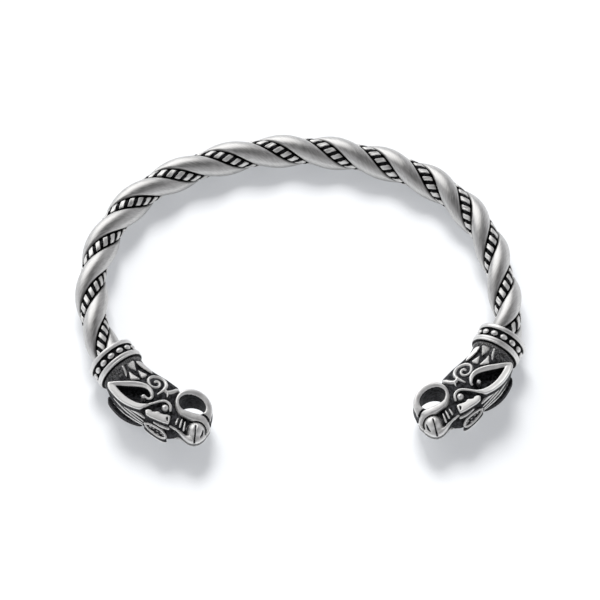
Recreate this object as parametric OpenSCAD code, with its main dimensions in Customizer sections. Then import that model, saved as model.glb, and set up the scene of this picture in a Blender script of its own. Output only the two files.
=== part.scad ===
// Open arm ring: a twisted bar whose two ends are held in beaded collars
// and finish in two dragon heads that face each other across the gap.
// The ring lies flat, with +Z up, its opening towards -Y, and the origin
// on the surface under the middle of the oval.

/* [Bar] */
// Diameter over the crests of the two smooth strands
bar_d = 5.8; // [5.2:0.1:6.4]
// Length of one full turn of the twist on the left half of the oval
left_pitch = 18.9; // [15:0.1:24]
// Length of one full turn on the right half
right_pitch = 18.3; // [15:0.1:24]
// Where a roped wire faces straight outward, to the right of the back's middle
twist_start = 0.6; // [-4:0.1:4]
// Diameter of the roped wire that lies in each groove
rope_d = 1.6; // [1.2:0.1:1.8]
// Distance from the bar's middle to the middle of a roped wire
rope_offset = 1.45; // [1.3:0.05:1.6]
// Clearance between the pieces
gap = 0.1; // [0.05:0.01:0.15]

/* [Oval] */
// Radius of the bar's middle line across the back
back_r = 47.6; // [43:0.2:53]
// Half of the angle that the back arc covers
back_deg = 27.3; // [22:0.1:30]
// Radius at the two shoulders
side_r = 25.3; // [23:0.1:28]
// Angle of each shoulder
side_deg = 45.7; // [40:0.1:50]
// Radius of the left arm
left_arm_r = 26.7; // [24:0.1:32]
// Angle of the left arm
left_arm_deg = 40.8; // [30:0.1:44]
// Radius of the right arm
right_arm_r = 63.3; // [50:0.5:80]
// Angle of the right arm
right_arm_deg = 11.2; // [8:0.1:16]
// Radius of the last short bend, which turns each end inward
bend_r = 8; // [7:0.5:14]
// Angle of that bend on the left
left_bend_deg = 13.2; // [8:0.1:25]
// Angle of that bend on the right
right_bend_deg = 32.8; // [24:0.5:40]
// Distance from the middle of the back to the origin
back_to_origin = 28; // [22:0.5:34]

/* [Collars] */
// Diameter over the two rims of a collar
collar_d = 9; // [8.4:0.1:10.5]
// Length of a collar
collar_len = 3.6; // [3.2:0.1:5]
// Width of the rim that faces the bar
rear_rim_w = 0.8; // [0.6:0.05:1]
// Width of the rim that faces the head
front_rim_w = 1.1; // [0.8:0.05:1.3]
// Depth of the groove between the rims
groove_depth = 0.6; // [0.3:0.05:0.8]
// Number of beads in the groove
bead_count = 14; // [10:1:18]
// Diameter of a bead
bead_d = 1.08; // [0.8:0.02:1.3]

/* [Heads] */
// Length of a head from its collar to the chin
head_len = 19.5; // [17:0.5:22]
// Height of a head's profile, from throat to crest
head_depth = 10; // [8.5:0.1:11.5]
// Thickness of a head over the rims of its ears
head_w = 8; // [7:0.1:9]
// Diameter of the neck where it leaves the collar
neck_d = 7.9; // [7:0.1:8.6]
// Outer diameter of the ring that the curled snout forms
snout_ring_d = 6.7; // [5.8:0.1:7]
// Thickness of that ring
snout_ring_w = 5.4; // [3.8:0.1:5.8]
// Length of the eye of the ring
ring_eye_len = 4.7; // [3.8:0.1:4.9]
// Width of the eye of the ring
ring_eye_w = 3.4; // [2.6:0.1:3.8]
// Diameter of the ball held between the jaws
ball_d = 3.1; // [2.4:0.1:3.5]
// Diameter of an eye
eye_d = 1.2; // [0.8:0.05:1.4]

/* [Hidden] */
$fn = 48;

steel = [0.74, 0.74, 0.75];
patina = [0.2, 0.2, 0.21];

bar_r = bar_d / 2;
collar_r = collar_d / 2;
bore_r = bar_r + gap;
// How far the bar's end and the head's spigot go into the collar
seat_depth = collar_len / 2 - gap;

// Radius and angle of the arcs from the middle of the back to each collar
SHOULDER = [[back_r, back_deg], [side_r, side_deg]];
LEFT = concat(SHOULDER, [[left_arm_r, left_arm_deg], [bend_r, left_bend_deg]]);
RIGHT = concat(SHOULDER, [[right_arm_r, right_arm_deg], [bend_r, right_bend_deg]]);

function arc_length(arc) = arc[0] * arc[1] * PI / 180;
function arm_length(arcs, i = 0) = i == len(arcs) ? 0 : arc_length(arcs[i]) + arm_length(arcs, i + 1);

// Point and heading [x, y, degrees] after a stretch along an arc, clockwise
function along_arc(p, r, deg) =
    [p[0] + r * (sin(p[2] + deg) - sin(p[2])), p[1] + r * (cos(p[2] + deg) - cos(p[2])), p[2] + deg];

// Point and heading at a length along a chain of arcs, which ends straight
function along(arcs, s, i = 0, p = [0, 0, 0]) =
    i == len(arcs) ? [p[0] + s * cos(p[2]), p[1] - s * sin(p[2]), p[2]]
    : s <= arc_length(arcs[i]) ? along_arc(p, arcs[i][0], s / arcs[i][0] * 180 / PI)
    : along(arcs, s - arc_length(arcs[i]), i + 1, along_arc(p, arcs[i][0], arcs[i][1]));

left_len = arm_length(LEFT);
right_len = arm_length(RIGHT);

// Middle line of the bar, from -left_len to right_len, clockwise from above
function bar_point(s) =
    let(p = s < 0 ? along(LEFT, -s) : along(RIGHT, s)) [s < 0 ? -p[0] : p[0], p[1]];
function bar_outward(s) =
    let(p = s < 0 ? along(LEFT, -s) : along(RIGHT, s)) [s < 0 ? -sin(p[2]) : sin(p[2]), cos(p[2])];

// A point of the bar at a length s, a radius and an angle from outward to up
function bar_surface(s, r, angle) =
    let(p = bar_point(s), n = bar_outward(s))
    [p[0] + n[0] * r * cos(angle), p[1] + n[1] * r * cos(angle), r * sin(angle)];

// Sections of the bar are points [radius, angle from the piece's own middle].
// A smooth strand is a wide lobe with a hollow on each side for a rope wire.
lobe_r = 0.67 * bar_r;
lobe_offset = bar_r - lobe_r;
lobe_half_deg = 62;
function lobe_radius(a) = lobe_offset * cos(a) + sqrt(lobe_r * lobe_r - pow(lobe_offset * sin(a), 2));
hollow_r = rope_d / 2 + gap;
function polar(x, y) = [norm([x, y]), atan2(y, x)];
function hollow_point(a, side) = polar(hollow_r * cos(a), side * (rope_offset - hollow_r * sin(a)));
STRAND = concat(
    [polar(gap / 2, -(rope_offset - hollow_r))],
    [for (a = [60, 25, -10]) hollow_point(a, -1)],
    [for (k = [-3:3]) let(a = k * lobe_half_deg / 3) [lobe_radius(a), a]],
    [for (a = [-10, 25, 60]) hollow_point(a, 1)],
    [polar(gap / 2, rope_offset - hollow_r)]);
// Sides at either end of that list which line a hollow
hollow_sides = 4;
rope_sides = 8;
ROPE = [for (k = [0:rope_sides - 1])
    let(a = 360 * (k + 0.5) / rope_sides) polar(rope_offset + rope_d / 2 * cos(a), rope_d / 2 * sin(a))];

// Rings of points along the bar, then one closed skin over them. The first and
// last sides of a strand's section are hollow, and there the skin folds inward.
function twist(s) = 360 * (s - twist_start) / (s < twist_start ? left_pitch : right_pitch);
bar_start = -(left_len + seat_depth);
bar_end = right_len + seat_depth;
ring_count = round((twist(bar_end) - twist(bar_start)) / 30);
module twisted(section, phase, hollow_sides) {
    n = len(section);
    points = [for (i = [0:ring_count])
        let(s = bar_start + (bar_end - bar_start) * i / ring_count)
            for (q = section) bar_surface(s, q[0], phase + twist(s) + q[1])];
    sides = [for (i = [0:ring_count - 1]) for (k = [0:n - 1])
        let(a = i * n + k, b = i * n + (k + 1) % n)
        each k < hollow_sides || k > n - 2 - hollow_sides
            ? [[a, a + n, b + n], [a, b + n, b]]
            : [[a, a + n, b], [b, a + n, b + n]]];
    first = [for (k = [0:n - 1]) k];
    last = [for (k = [n - 1:-1:0]) ring_count * n + k];
    polyhedron(points = points, faces = concat([first], sides, [last]), convexity = 10);
}

// Collars and heads are drawn along +X from the collar's front face, with the
// crest towards +Y, and each pair is the other one's mirror image.
// The left piece turns its crest to the oval's middle as drawn.
module on_left_end() {
    p = along(LEFT, left_len + collar_len);
    translate([-p[0], p[1], 0]) rotate(180 + p[2]) children();
}
module on_right_end() {
    p = along(RIGHT, right_len + collar_len);
    translate([p[0], p[1], 0]) rotate(-p[2]) mirror([0, 1, 0]) children();
}

// The ring rests on the rear rims of its collars and on the bar's back.
// This finds the floor's direction from those three heights.
left_seat = along(LEFT, left_len + rear_rim_w / 2);
right_seat = along(RIGHT, right_len + rear_rim_w / 2);
rise = collar_r - bar_r;
cross_xy = -left_seat[0] * right_seat[1] - right_seat[0] * left_seat[1];
floor_x = rise * (right_seat[1] - left_seat[1]) / cross_xy;
floor_y = rise * (-left_seat[0] - right_seat[0]) / cross_xy;
floor_normal = [floor_x, floor_y, sqrt(1 - floor_x * floor_x - floor_y * floor_y)];
module at_rest() {
    translate([0, back_to_origin, bar_r])
        rotate(a = acos(floor_normal[2]), v = cross(floor_normal, [0, 0, 1]))
            children();
}

module smooth_strand_a() { color(steel) at_rest() twisted(STRAND, 90, hollow_sides); }
module smooth_strand_b() { color(steel) at_rest() twisted(STRAND, 270, hollow_sides); }
module rope_wire_a() { color(patina) at_rest() twisted(ROPE, 0, 0); }
module rope_wire_b() { color(patina) at_rest() twisted(ROPE, 180, 0); }

// A collar is a turned ring with a groove between two rounded rims,
// bored for the bar behind and for the head's spigot in front
groove_r = collar_r - groove_depth;
module rim(w, at) {
    edge = w / 4;
    translate([0, at]) polygon([[bore_r, 0], [collar_r - edge, 0], [collar_r, edge],
        [collar_r, w - edge], [collar_r - edge, w], [bore_r, w]]);
}
module collar() {
    groove_mid = -collar_len + (collar_len + rear_rim_w - front_rim_w) / 2;
    rotate([0, 90, 0]) rotate_extrude() {
        translate([bore_r, -collar_len]) square([groove_r - bore_r, collar_len]);
        rim(rear_rim_w, -collar_len);
        rim(front_rim_w, -front_rim_w);
    }
    for (k = [0:bead_count - 1])
        rotate([360 * (k + 0.5) / bead_count, 0, 0])
            translate([groove_mid, 0, collar_r - bead_d / 2]) sphere(d = bead_d, $fn = 24);
}
module collar_left() { color(steel) at_rest() on_left_end() collar(); }
module collar_right() { color(steel) at_rest() on_right_end() collar(); }

// Head tables hold shares: along the head of head_len, across the profile of
// head_depth, and outward of half of head_w
function spot(p) = [p[0] * head_len, p[1] * head_depth];
function level(h) = h * head_w / 2;

// Body sections: [along, throat side, crest side, half thickness, squareness].
// The crest half is squarer the higher that power is, the throat half is round.
neck_share = neck_d / 2 / head_depth;
neck_level = neck_d / head_w;
BODY = [
    [0.005, -neck_share, neck_share, neck_level, 2],
    [0.06, -1.05 * neck_share, 0.93 * neck_share, 0.95 * neck_level, 2.2],
    [0.13, -0.455, 0.36, 0.86, 2.6],
    [0.215, -0.475, 0.4, 0.8, 3.2],
    [0.35, -0.44, 0.465, 0.78, 3.4],
    [0.475, -0.365, 0.51, 0.72, 3.4],
    [0.585, -0.3, 0.38, 0.66, 3.2],
    [0.685, -0.24, 0.27, 0.6, 3],
    [0.77, -0.15, 0.24, 0.52, 2.8],
    [0.83, -0.03, 0.21, 0.44, 2.4],
    [0.85, 0.03, 0.17, 0.36, 2.2]];
body_sides = 16;
function rounded(x, power) = sign(x) * pow(abs(x), 2 / power);
function body_ring(row) = [for (k = [0:body_sides - 1])
    let(a = 360 * k / body_sides,
        power = cos(a) > 0 ? row[4] : 2,
        across = (row[1] + row[2]) / 2 + (row[2] - row[1]) / 2 * rounded(cos(a), power))
    [row[0] * head_len, across * head_depth, level(row[3]) * rounded(sin(a), power)]];
module body() {
    n = body_sides;
    count = len(BODY);
    polyhedron(
        points = [for (row = BODY) each body_ring(row)],
        faces = concat(
            [[for (k = [0:n - 1]) k]],
            [for (i = [0:count - 2]) for (k = [0:n - 1])
                let(a = i * n + k, b = i * n + (k + 1) % n) each [[a, a + n, b], [b, a + n, b + n]]],
            [[for (k = [n - 1:-1:0]) (count - 1) * n + k]]));
    rotate([0, 90, 0]) translate([0, 0, -seat_depth]) cylinder(r = bar_r, h = seat_depth + 0.02 * head_len);
}

// Raised bands: [along, across, half width, height], each a share as above
EAR_TOP = [
    [0.095, -0.42, 0.03, 0.88], [0.165, -0.25, 0.032, 0.92], [0.235, -0.08, 0.034, 0.95],
    [0.3, 0.03, 0.034, 0.95], [0.37, 0.075, 0.032, 0.93], [0.425, 0.035, 0.028, 0.89],
    [0.44, -0.01, 0.022, 0.87]];
EAR_FOOT = [
    [0.1, -0.43, 0.035, 0.88], [0.17, -0.435, 0.052, 0.93], [0.3, -0.4, 0.058, 0.95],
    [0.4, -0.32, 0.058, 0.93], [0.465, -0.2, 0.046, 0.91], [0.495, -0.05, 0.03, 0.89],
    [0.52, 0.1, 0.027, 0.87], [0.57, 0.17, 0.027, 0.85], [0.635, 0.11, 0.022, 0.8]];
CREST_CURL = [
    [0.318, 0.22, 0.02, 0.79], [0.338, 0.3, 0.022, 0.79], [0.369, 0.21, 0.022, 0.8],
    [0.31, 0.145, 0.024, 0.81], [0.257, 0.24, 0.024, 0.8], [0.29, 0.37, 0.024, 0.77],
    [0.39, 0.4, 0.026, 0.74], [0.426, 0.3, 0.026, 0.77], [0.428, 0.16, 0.016, 0.79]];
CREST_BRANCH = [[0.426, 0.3, 0.024, 0.76], [0.468, 0.3, 0.024, 0.75], [0.482, 0.45, 0.03, 0.7]];
JAW_LINE = [
    [0.62, -0.22, 0.02, 0.6], [0.7, -0.115, 0.03, 0.6], [0.775, -0.035, 0.024, 0.53],
    [0.86, 0.03, 0.02, 0.42]];
SLATS = [
    [[0.715, 0.14, 0.013, 0.6], [0.744, 0.05, 0.01, 0.6]],
    [[0.751, 0.18, 0.013, 0.57], [0.79, 0.06, 0.01, 0.57]],
    [[0.79, 0.2, 0.013, 0.53], [0.84, 0.09, 0.01, 0.5]]];

// How far a band's foot lies below its top, so that it joins the body
band_foot = level(0.4);
module band(points) {
    for (i = [0:len(points) - 2])
        hull() for (p = [points[i], points[i + 1]])
            translate([p[0] * head_len, p[1] * head_depth, level(p[3]) - band_foot])
                cylinder(r = p[2] * head_depth, h = band_foot, $fn = 6);
}

// Outlines of the hollow ear, the cheek plate and the scale at the throat, shares as above
EAR_HOLLOW = [
    [0.145, -0.36], [0.22, -0.365], [0.3, -0.335], [0.38, -0.27], [0.435, -0.18], [0.46, -0.09],
    [0.425, -0.03], [0.38, 0.035], [0.34, 0.03], [0.28, -0.05], [0.22, -0.17], [0.17, -0.28]];
CHEEK = [
    [0.51, -0.26], [0.525, -0.19], [0.595, -0.095], [0.636, -0.045], [0.677, 0.025],
    [0.722, -0.085], [0.68, -0.155], [0.58, -0.275], [0.53, -0.29]];
THROAT_SCALE = [
    [0.52, -0.32], [0.56, -0.22], [0.66, -0.19], [0.72, -0.14], [0.76, -0.14], [0.765, -0.18],
    [0.72, -0.24], [0.64, -0.285], [0.57, -0.32]];
module plate(outline, from, to) {
    translate([0, 0, level(from)])
        linear_extrude(level(to) - level(from))
            polygon([for (p = outline) spot(p)]);
}

// The beard under each ear is a thin fin along the throat, its points as for a band
BEARD_FIN = [[0.25, -0.42, 0.03, 0.5], [0.4, -0.37, 0.04, 0.45], [0.53, -0.3, 0.025, 0.38]];

// The eye's place, a share as above, and its level
EYE = [0.582, 0.05];
eye_level = level(0.7);

module side_relief() {
    band(EAR_TOP);
    band(EAR_FOOT);
    band(CREST_CURL);
    band(CREST_BRANCH);
    band(JAW_LINE);
    for (s = SLATS) band(s);
    band(BEARD_FIN);
    plate(CHEEK, 0.4, 0.82);
    translate(concat(spot(EYE), [eye_level])) sphere(d = eye_d, $fn = 8);
}

// The snout curls up and back into a ring with rounded edges, and the ring's
// eye is a leaning oval that goes right through
RING_MID = [0.69, 0.487];
ring_eye_lean = 8;
module ring_mass() {
    edge = snout_ring_d / 10;
    translate(spot(RING_MID)) hull() {
        cylinder(d = snout_ring_d - 2 * edge, h = snout_ring_w, center = true, $fn = 24);
        cylinder(d = snout_ring_d, h = snout_ring_w - 2 * edge, center = true, $fn = 24);
    }
}
module ring_eye() {
    translate(spot(RING_MID)) rotate(ring_eye_lean)
        linear_extrude(2 * snout_ring_w, center = true)
            scale([ring_eye_len / ring_eye_w, 1]) circle(d = ring_eye_w, $fn = 24);
}

// Upper lip over the ball, then the chin that curls up in front of it:
// [along, across, radius across, half thickness]
LIP = [
    [0.71, 0.28, 0.05, 0.5], [0.826, 0.45, 0.06, 0.46], [0.887, 0.475, 0.06, 0.4],
    [0.945, 0.45, 0.045, 0.3], [0.97, 0.385, 0.03, 0.22]];
CHIN = [
    [0.744, 0.06, 0.07, 0.45], [0.86, 0.09, 0.068, 0.42], [0.935, 0.135, 0.07, 0.33],
    [0.96, 0.23, 0.06, 0.27], [0.958, 0.33, 0.05, 0.22]];
module snout_bar(points) {
    for (i = [0:len(points) - 2])
        hull() for (p = [points[i], points[i + 1]])
            translate([p[0] * head_len, p[1] * head_depth, 0]) {
                cylinder(r = p[2] * head_depth, h = level(p[3]), center = true, $fn = 8);
                cylinder(r = 0.6 * p[2] * head_depth, h = 2 * level(p[3]), center = true, $fn = 8);
            }
}

// The ball lies between the lip and the chin, a little longer through the head
BALL = [0.872, 0.295];
ball_stretch = 1.15;
module ball() {
    translate(spot(BALL)) scale([1, 1, ball_stretch]) sphere(d = ball_d, $fn = 14);
}

// A bead stands on a short post in the hollow of each ear
EAR_BEAD = [0.369, -0.065];
ear_bead_r = 0.4 * eye_d;
ear_bead_level = level(0.72);
module ear_bead() {
    translate(spot(EAR_BEAD)) {
        cylinder(r = 0.7 * ear_bead_r, h = ear_bead_level, $fn = 8);
        translate([0, 0, ear_bead_level]) sphere(r = ear_bead_r, $fn = 8);
    }
}

module head() {
    difference() {
        union() {
            body();
            ring_mass();
            snout_bar(LIP);
            snout_bar(CHIN);
            ball();
            plate(THROAT_SCALE, -0.28, 0.28);
            for (m = [0, 1]) mirror([0, 0, m]) side_relief();
        }
        ring_eye();
        for (m = [0, 1]) mirror([0, 0, m]) plate(EAR_HOLLOW, 0.4, 1.2);
    }
    for (m = [0, 1]) mirror([0, 0, m]) ear_bead();
}
module head_left() { color(steel) at_rest() on_left_end() head(); }
module head_right() { color(steel) at_rest() on_right_end() head(); }

smooth_strand_a();
smooth_strand_b();
rope_wire_a();
rope_wire_b();
collar_left();
collar_right();
head_left();
head_right();
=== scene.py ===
# An open arm ring lying on a white surface: a bar twisted from two smooth
# strands and two roped wires, a beaded collar at each end of it, and two cast
# dragon heads that face each other across the gap.
# Lengths are in millimetres up to the moment that a mesh is made.
import math

import bpy
import numpy as np
import openvdb
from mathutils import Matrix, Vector


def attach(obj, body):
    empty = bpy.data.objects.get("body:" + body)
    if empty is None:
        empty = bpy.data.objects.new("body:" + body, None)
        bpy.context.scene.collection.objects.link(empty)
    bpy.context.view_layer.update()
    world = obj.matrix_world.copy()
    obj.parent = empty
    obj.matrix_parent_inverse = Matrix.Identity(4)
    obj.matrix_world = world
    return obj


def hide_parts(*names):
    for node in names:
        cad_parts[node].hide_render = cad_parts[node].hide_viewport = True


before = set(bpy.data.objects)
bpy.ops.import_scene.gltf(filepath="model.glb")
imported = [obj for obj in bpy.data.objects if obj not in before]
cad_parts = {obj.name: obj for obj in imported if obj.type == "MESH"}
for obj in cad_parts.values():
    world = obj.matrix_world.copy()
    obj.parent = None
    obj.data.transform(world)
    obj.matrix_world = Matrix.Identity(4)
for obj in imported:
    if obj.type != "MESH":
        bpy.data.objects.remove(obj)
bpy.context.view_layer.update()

MM = 0.001

# Bar: the pitch of the twist on each arm and where it starts, the roped wires
# and how far they lie from the bar's middle, and the gap between pieces
BAR_D = 5.8
LEFT_PITCH = 18.9
RIGHT_PITCH = 18.3
TWIST_START = 0.6
ROPE_D = 1.6
ROPE_OFFSET = 1.45
GAP = 0.1
BAR_R = BAR_D / 2

# Section of a smooth strand: its lobe as a share of the bar, half the angle
# that the lobe takes, the turn of the hollow beside it, and how far corners ease
LOBE_SHARE = 0.67
LOBE_HALF_ANGLE = 52
HOLLOW_TURN = (-10, 88)
CORNER_EASE = 0.13
SECTION_STEPS = 240

# Tarnish fills a strand's flank below this radius, and fades over this length
TARNISH_R = 2.27
TARNISH_FADE = 0.12

# Oval: radius and angle of each arc, from the middle of the back to a collar
SHOULDER = [(47.6, 27.3), (25.3, 45.7)]
LEFT = SHOULDER + [(26.7, 40.8), (8.0, 13.2)]
RIGHT = SHOULDER + [(63.3, 11.2), (8.0, 32.8)]
BACK_TO_ORIGIN = 28.0

# Collars, and the beads in their grooves, which are wider than they are long
COLLAR_R = 4.5
COLLAR_LEN = 3.6
REAR_RIM = 0.8
FRONT_RIM = 1.1
GROOVE_DEPTH = 0.6
BEAD_COUNT = 14
BEAD_R = 0.54
BEAD_STRETCH = 1.3
SEAT_DEPTH = COLLAR_LEN / 2 - GAP


def along(arcs, s):
    """Points and headings at lengths s along a chain of arcs that ends straight."""
    rest = np.array(s, float)
    point = np.zeros((len(rest), 2))
    heading = np.zeros(len(rest))
    for radius, degrees in arcs:
        step = np.clip(rest, 0, radius * math.radians(degrees))
        turned = heading + step / radius
        point[:, 0] += radius * (np.sin(turned) - np.sin(heading))
        point[:, 1] += radius * (np.cos(turned) - np.cos(heading))
        heading = turned
        rest = rest - step
    point[:, 0] += rest * np.cos(heading)
    point[:, 1] -= rest * np.sin(heading)
    return point, heading


def arm_length(arcs):
    return sum(radius * math.radians(degrees) for radius, degrees in arcs)


LEFT_LEN = arm_length(LEFT)
RIGHT_LEN = arm_length(RIGHT)


def bar_line(s):
    """Middle line of the bar and its outward direction, clockwise from above."""
    s = np.asarray(s, float)
    left_point, left_heading = along(LEFT, np.maximum(-s, 0))
    right_point, right_heading = along(RIGHT, np.maximum(s, 0))
    on_left = (s < 0)[:, None]
    left_point[:, 0] *= -1
    left_out = np.stack([-np.sin(left_heading), np.cos(left_heading)], 1)
    right_out = np.stack([np.sin(right_heading), np.cos(right_heading)], 1)
    return np.where(on_left, left_point, right_point), np.where(on_left, left_out, right_out)


def resting_turn():
    """The ring rests on its collars' rear rims and on the back of the bar."""
    left = along(LEFT, [LEFT_LEN + REAR_RIM / 2])[0][0]
    right = along(RIGHT, [RIGHT_LEN + REAR_RIM / 2])[0][0]
    rise = COLLAR_R - BAR_R
    cross = -left[0] * right[1] - right[0] * left[1]
    normal = Vector((rise * (right[1] - left[1]) / cross, rise * (-left[0] - right[0]) / cross, 0))
    normal.z = math.sqrt(1 - normal.x ** 2 - normal.y ** 2)
    return np.array(normal.rotation_difference(Vector((0, 0, 1))).to_matrix())


REST = resting_turn()
LIFT = np.array([0, BACK_TO_ORIGIN, BAR_R])


def at_rest(points):
    return (points @ REST.T + LIFT) * MM


def bar_surface(s, radius, angle):
    """Points at lengths s, radii and angles (radians, from outward to up)."""
    line, outward = bar_line(s)
    side = radius * np.cos(angle)
    return np.column_stack([line + outward * side[:, None], radius * np.sin(angle)])


def twist(s):
    s = np.asarray(s, float)
    return 2 * math.pi * (s - TWIST_START) / np.where(s < TWIST_START, LEFT_PITCH, RIGHT_PITCH)


def end_frame(arcs, side):
    """Place of a head: its X runs forward from the collar, its Y to the crest."""
    end, heading = along(arcs, [arm_length(arcs) + COLLAR_LEN])
    c, s = math.cos(heading[0]), math.sin(heading[0])
    forward = np.array([side * c, -s, 0])
    crest = np.array([-side * s, -c, 0])
    axes = np.column_stack([forward, crest, [0, 0, 1]])
    return axes, np.array([side * end[0, 0], end[0, 1], 0])


LEFT_END = end_frame(LEFT, -1)
RIGHT_END = end_frame(RIGHT, 1)


def on_end(points, end):
    axes, origin = end
    return at_rest(points @ axes.T + origin)


# Meshes


def piece(name, points, faces, node, finish, wear, uvs=None):
    """A mesh in metres that stands for a CAD node, with its wear and its UVs in mm."""
    mesh = bpy.data.meshes.new(name)
    mesh.from_pydata(points.tolist(), [], faces)
    mesh.validate()
    mesh.shade_smooth()
    rubbed = mesh.attributes.new("wear", "FLOAT", "POINT")
    rubbed.data.foreach_set("value", wear.astype(np.float32))
    if uvs is not None:
        layer = mesh.uv_layers.new(name="grain")
        corners = np.zeros(len(mesh.loops), np.int32)
        mesh.loops.foreach_get("vertex_index", corners)
        layer.data.foreach_set("uv", uvs[corners].astype(np.float32).ravel())
    mesh.materials.append(finish)
    obj = bpy.data.objects.new(name, mesh)
    bpy.context.scene.collection.objects.link(obj)
    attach(obj, "root")
    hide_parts(node)


def band_faces(start, rings, sides):
    """Quads between rings of points that follow each other from point start."""
    faces = []
    for i in range(rings - 1):
        for k in range(sides):
            a, b = start + i * sides + k, start + i * sides + (k + 1) % sides
            faces.append((a, b, b + sides, a + sides))
    return faces


def fan_faces(start, tip, sides):
    """Triangles from a ring of points to one tip."""
    return [(start + k, start + (k + 1) % sides, tip) for k in range(sides)]


def tube_faces(rings, sides):
    """Quads over a tube of rings, with an n-sided face at each end."""
    faces = band_faces(0, rings, sides)
    faces.append(tuple(range(sides - 1, -1, -1)))
    faces.append(tuple(range((rings - 1) * sides, rings * sides)))
    return faces


def smooth_line(points, spacing, closed=False):
    """A Catmull-Rom curve through rows of numbers, sampled about every spacing."""
    p = np.array(points, float)
    if closed:
        p = np.vstack([p[-1], p, p[0], p[1]])
    else:
        p = np.vstack([2 * p[0] - p[1], p, 2 * p[-1] - p[-2]])
    out = []
    for i in range(1, len(p) - 2):
        n = max(2, int(np.linalg.norm(p[i + 1, :2] - p[i, :2]) / spacing))
        t = np.arange(n)[:, None] / n
        a, b, c, d = p[i - 1], p[i], p[i + 1], p[i + 2]
        out.append(0.5 * (2 * b + (c - a) * t + (2 * a - 5 * b + 4 * c - d) * t ** 2
                          + (3 * b - a - 3 * c + d) * t ** 3))
    if not closed:
        out.append(p[-2:-1])
    return np.vstack(out)


# Materials


def linear(hex_colour):
    """sRGB hex to linear RGBA."""
    parts = [int(hex_colour[i:i + 2], 16) / 255 for i in (1, 3, 5)]
    return [c / 12.92 if c <= 0.04045 else ((c + 0.055) / 1.055) ** 2.4 for c in parts] + [1]


def add(tree, kind, settings=None, links=None):
    """Adds a node: settings by attribute or input name, links as {input: output}."""
    node = tree.nodes.new(kind)
    for key, value in (settings or {}).items():
        if isinstance(key, int) or key in node.inputs:
            node.inputs[key].default_value = value
        else:
            setattr(node, key, value)
    for key, output in (links or {}).items():
        tree.links.new(output, node.inputs[key])
    return node


def new_finish(name):
    finish = bpy.data.materials.new(name)
    finish.use_nodes = True
    finish.node_tree.nodes.clear()
    return finish, finish.node_tree


# Sizes of the patterns in the finishes, in mm. Real brush streaks are about
# 0.05 mm wide, and are drawn coarser so that they show in the render.
STREAK_WIDTH = 0.32
STREAK_LENGTH = 1.3
CAST_GRAIN = 0.25
SOOT_PATCH = 0.5
HAND_PATCH = 1.2
SHEET_GRAIN = 0.4


def satin_steel():
    """Stainless steel drawn smooth and satin-brushed along the twist: a soft
    sheen in long gradients, with fine streaks, and tarnish down its flanks."""
    finish, tree = new_finish("satin_brushed_stainless_steel")
    uv = add(tree, "ShaderNodeUVMap", {"uv_map": "grain"})
    wear = add(tree, "ShaderNodeAttribute", {"attribute_name": "wear"})
    stretched = add(tree, "ShaderNodeMapping",
                    {"Scale": (1 / STREAK_LENGTH, 1 / STREAK_WIDTH, 1)},
                    {"Vector": uv.outputs["UV"]})
    streaks = add(tree, "ShaderNodeTexNoise", {"Scale": 1.0, "Detail": 3.0, "Roughness": 0.6},
                  {"Vector": stretched.outputs["Vector"]})
    rough = add(tree, "ShaderNodeMapRange",
                {"From Min": 0.3, "From Max": 0.7, "To Min": 0.28, "To Max": 0.48},
                {"Value": streaks.outputs["Fac"]})
    tone = add(tree, "ShaderNodeMix",
               {"data_type": "RGBA", 6: linear("#949391"), 7: linear("#e6e5e3")},
               {0: streaks.outputs["Fac"]})
    tarnished = add(tree, "ShaderNodeMix", {"data_type": "RGBA", 6: linear("#161617")},
                    {0: wear.outputs["Fac"], 7: tone.outputs[2]})
    bump = add(tree, "ShaderNodeBump", {"Strength": 0.4, "Distance": 0.00003},
               {"Height": streaks.outputs["Fac"]})
    shader = add(tree, "ShaderNodeBsdfPrincipled", {"Metallic": 1.0},
                 {"Base Color": tarnished.outputs[2], "Roughness": rough.outputs["Result"],
                  "Normal": bump.outputs["Normal"]})
    add(tree, "ShaderNodeOutputMaterial", None, {"Surface": shader.outputs["BSDF"]})
    return finish


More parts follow.
